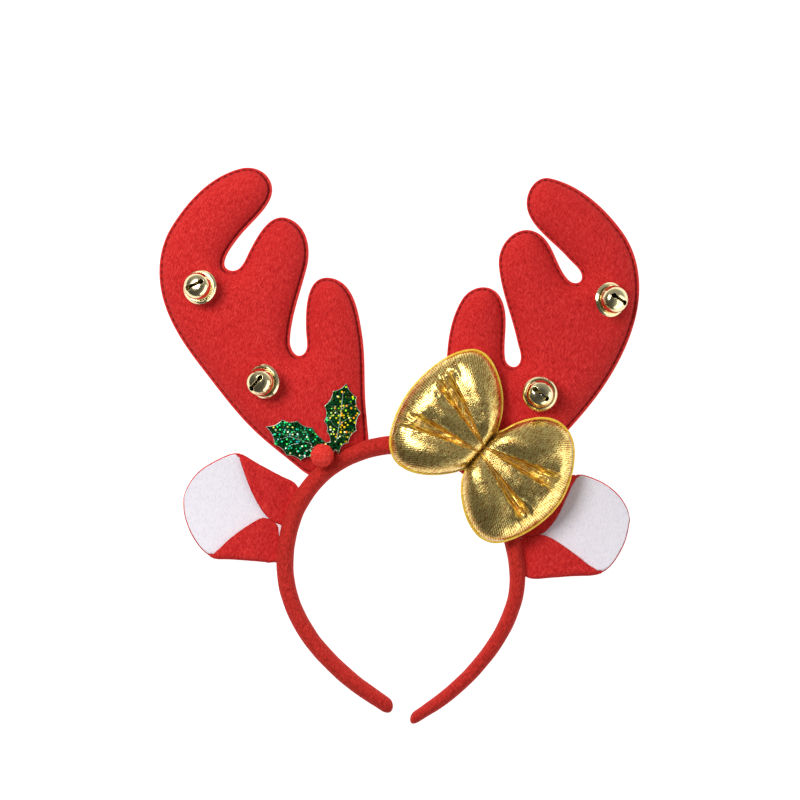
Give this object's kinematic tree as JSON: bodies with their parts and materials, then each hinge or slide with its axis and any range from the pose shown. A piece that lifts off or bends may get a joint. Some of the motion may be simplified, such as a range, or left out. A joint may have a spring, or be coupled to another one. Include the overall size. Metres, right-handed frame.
{
  "type": "reindeer antler headband",
  "caption": "Felt-covered hair band with stuffed reindeer antlers, folded ears, round bells, a holly sprig with a berry and a stuffed gold bow, worn over the head.",
  "frame": {"origin": "middle of the headband's box, on the surface that it lies on", "axes": "+Y from the band's open ends towards the antlers' tips, +X to the side with the bow, +Z out of the front face; the head goes through the band along Z"},
  "size_m": [0.2396, 0.2776, 0.03],
  "materials": {
    "felt": "soft red needled felt with dark red stitching along the antlers' edges",
    "lining": "soft white felt facing",
    "bell": "bright pale gold plating on pressed metal",
    "pea": "plain loose metal ball",
    "holly": "dark green glitter film with silver veins and edge",
    "berry": "fuzzy red pompom yarn",
    "bow": "shiny finely ribbed gold metallic cloth"
  },
  "bodies": {
    "root": {"band": "felt", "antler_left": "felt", "antler_right": "felt", "ear_left": "felt", "ear_left_lining": "lining", "ear_right": "felt", "ear_right_lining": "lining", "bell_1_cup": "bell", "bell_1_dome": "bell", "bell_1_pea": "pea", "bell_2_cup": "bell", "bell_2_dome": "bell", "bell_2_pea": "pea", "bell_3_cup": "bell", "bell_3_dome": "bell", "bell_3_pea": "pea", "bell_4_cup": "bell", "bell_4_dome": "bell", "bell_4_pea": "pea", "holly": "holly", "berry": "berry", "bow": "bow"}
  },
  "joints": []
}
